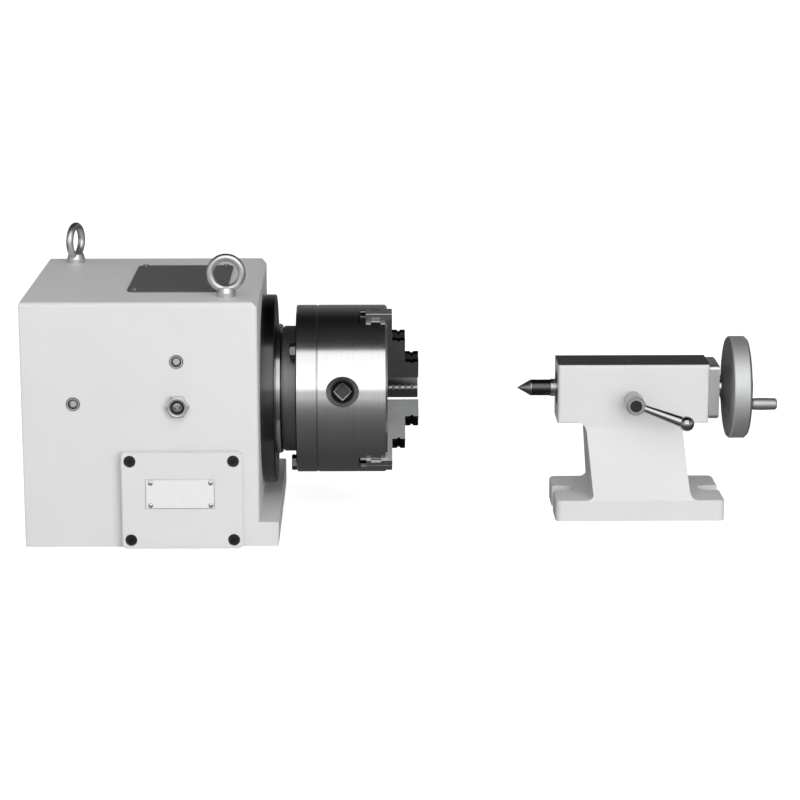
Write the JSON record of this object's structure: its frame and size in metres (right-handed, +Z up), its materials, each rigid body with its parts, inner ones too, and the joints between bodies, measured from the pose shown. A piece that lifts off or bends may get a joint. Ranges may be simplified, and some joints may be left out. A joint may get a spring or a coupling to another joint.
{
  "type": "rotary indexer",
  "caption": "Motor-driven rotary indexer with a horizontal spindle, a self-centring jaw chuck and a matching hand-operated tailstock with a dead centre.",
  "frame": {"origin": "on the table plane, under the spindle axis, at the middle of the headstock housing", "axes": "+X along the spindle from the headstock towards the tailstock, +Y away from the operator's side, +Z up"},
  "size_m": [0.7022, 0.273, 0.2674],
  "materials": {
    "cast_paint": "light grey-white enamel on a casting, fine orange peel",
    "black_plate": "dark grey matt plate",
    "black_oxide": "black oxide on turned steel",
    "black_screw": "black oxide socket screw",
    "zinc": "zinc plated steel",
    "turned_steel": "fine turned and ground steel",
    "dark_turned": "turned cast iron, dark grey",
    "jaw_steel": "hardened and ground steel",
    "bronze": "tin bronze, hobbed",
    "aluminium": "brushed aluminium",
    "chrome": "polished chrome",
    "rubber": "black nitrile rubber",
    "black_plastic": "black moulded plastic",
    "lens": "clear window over a grey disc",
    "brass": "turned brass"
  },
  "bodies": {
    "headstock": {"housing": "cast_paint", "front_cover": "cast_paint", "cap_screws_m6": "black_screw", "top_plate": "black_plate", "cover_screws_m4": "zinc", "rear_cover": "cast_paint", "side_cap": "aluminium", "through_tube": "turned_steel", "bearing_flange": "black_oxide", "oil_seal": "rubber", "front_bearing_outer": "turned_steel", "rear_bearing_outer": "turned_steel", "sight_glass": "zinc", "sight_lens": "lens", "filler_plugs": "zinc", "eye_bolts": "zinc", "motor_body": "black_plate", "motor_screws": "black_screw", "drive_belt": "rubber", "worm_bearings_outer": "turned_steel", "worm_end_cap": "aluminium", "cable_gland": "black_plastic"},
    "motor_rotor": {"motor_shaft": "turned_steel", "motor_pulley": "aluminium"},
    "worm": {"worm_shaft": "turned_steel", "worm_pulley": "aluminium", "worm_bearings_inner": "turned_steel"},
    "spindle": {"spindle": "turned_steel", "worm_wheel": "bronze", "wheel_key": "jaw_steel", "front_bearing_inner": "turned_steel", "rear_bearing_inner": "turned_steel", "spindle_nut": "black_oxide", "adapter_plate": "dark_turned", "cap_screws_m8": "black_screw", "chuck_body": "turned_steel", "chuck_back_cover": "dark_turned"},
    "scroll": {"scroll": "jaw_steel"},
    "jaw_1": {"jaw_1": "jaw_steel"},
    "jaw_2": {"jaw_2": "jaw_steel"},
    "jaw_3": {"jaw_3": "jaw_steel"},
    "pinion_1": {"pinion_1": "black_oxide"},
    "pinion_2": {"pinion_2": "black_oxide"},
    "pinion_3": {"pinion_3": "black_oxide"},
    "tailstock": {"tailstock_body": "cast_paint", "quill_seal": "rubber", "end_plate": "aluminium", "end_plate_screws": "black_screw", "oiler": "brass", "quill_key": "jaw_steel"},
    "quill": {"quill": "turned_steel", "tail_centre": "turned_steel"},
    "handwheel": {"lead_screw": "turned_steel", "handwheel": "aluminium", "wheel_nut": "zinc", "handle_pin": "turned_steel"},
    "handle": {"handle": "aluminium"},
    "clamp_lever": {"clamp_lever": "chrome", "lever_cap": "black_plastic", "clamp_stud": "turned_steel"}
  },
  "joints": [
    {"name": "spindle_turn", "type": "hinge", "parent": "headstock", "child": "spindle", "pos_m": [0, 0, 0.12], "axis": [1, 0, 0], "continuous": true},
    {"name": "worm_turn", "type": "hinge", "parent": "headstock", "child": "worm", "pos_m": [0.065, 0, 0.045], "axis": [0, 1, 0], "continuous": true},
    {"name": "motor_turn", "type": "hinge", "parent": "headstock", "child": "motor_rotor", "pos_m": [0.01, 0, 0.045], "axis": [0, 1, 0], "continuous": true},
    {"name": "scroll_turn", "type": "hinge", "parent": "spindle", "child": "scroll", "pos_m": [0, 0, 0.12], "axis": [1, 0, 0], "range_deg": [-490, 625]},
    {"name": "jaw_1_slide", "type": "slide", "parent": "spindle", "child": "jaw_1", "axis": [0, -0.3461, 0.9382], "range_m": [-0.011, 0.014]},
    {"name": "pinion_1_turn", "type": "hinge", "parent": "spindle", "child": "pinion_1", "pos_m": [0.1837, 0, 0.12], "axis": [0, -0.9856, 0.1693], "range_deg": [-3770, 2960]},
    {"name": "jaw_2_slide", "type": "slide", "parent": "spindle", "child": "jaw_2", "axis": [0, -0.6394, -0.7688], "range_m": [-0.011, 0.014]},
    {"name": "pinion_2_turn", "type": "hinge", "parent": "spindle", "child": "pinion_2", "pos_m": [0.1837, 0, 0.12], "axis": [0, 0.3461, -0.9382], "range_deg": [-3770, 2960]},
    {"name": "jaw_3_slide", "type": "slide", "parent": "spindle", "child": "jaw_3", "axis": [0, 0.9856, -0.1693], "range_m": [-0.011, 0.014]},
    {"name": "pinion_3_turn", "type": "hinge", "parent": "spindle", "child": "pinion_3", "pos_m": [0.1837, 0, 0.12], "axis": [0, 0.6394, 0.7688], "range_deg": [-3770, 2960]},
    {"name": "tailstock_slide", "type": "slide", "parent": "headstock", "child": "tailstock", "axis": [1, 0, 0], "range_m": [-0.05, 0.25]},
    {"name": "handwheel_turn", "type": "hinge", "parent": "tailstock", "child": "handwheel", "pos_m": [0, 0, 0.12], "axis": [-1, 0, 0], "range_deg": [0, 3600]},
    {"name": "quill_slide", "type": "slide", "parent": "tailstock", "child": "quill", "axis": [-1, 0, 0], "range_m": [0, 0.0401]},
    {"name": "handle_spin", "type": "hinge", "parent": "handwheel", "child": "handle", "pos_m": [0.5707, -0.03811, 0.1117], "axis": [1, 0, 0], "continuous": true},
    {"name": "clamp_lever_turn", "type": "hinge", "parent": "tailstock", "child": "clamp_lever", "pos_m": [0.4599, -0.0245, 0.1133], "axis": [0, 1, 0], "range_deg": [-60, 30]}
  ],
  "couplings": [
    {"joint": "worm_turn", "follows": "spindle_turn", "ratio": -60},
    {"joint": "motor_turn", "follows": "spindle_turn", "ratio": -72},
    {"joint": "jaw_1_slide", "follows": "scroll_turn", "m_per_rad": 0.0012732},
    {"joint": "pinion_1_turn", "follows": "scroll_turn", "ratio": -6},
    {"joint": "jaw_2_slide", "follows": "scroll_turn", "m_per_rad": 0.0012732},
    {"joint": "pinion_2_turn", "follows": "scroll_turn", "ratio": -6},
    {"joint": "jaw_3_slide", "follows": "scroll_turn", "m_per_rad": 0.0012732},
    {"joint": "pinion_3_turn", "follows": "scroll_turn", "ratio": -6},
    {"joint": "quill_slide", "follows": "handwheel_turn", "m_per_rad": 0.00063662}
  ]
}
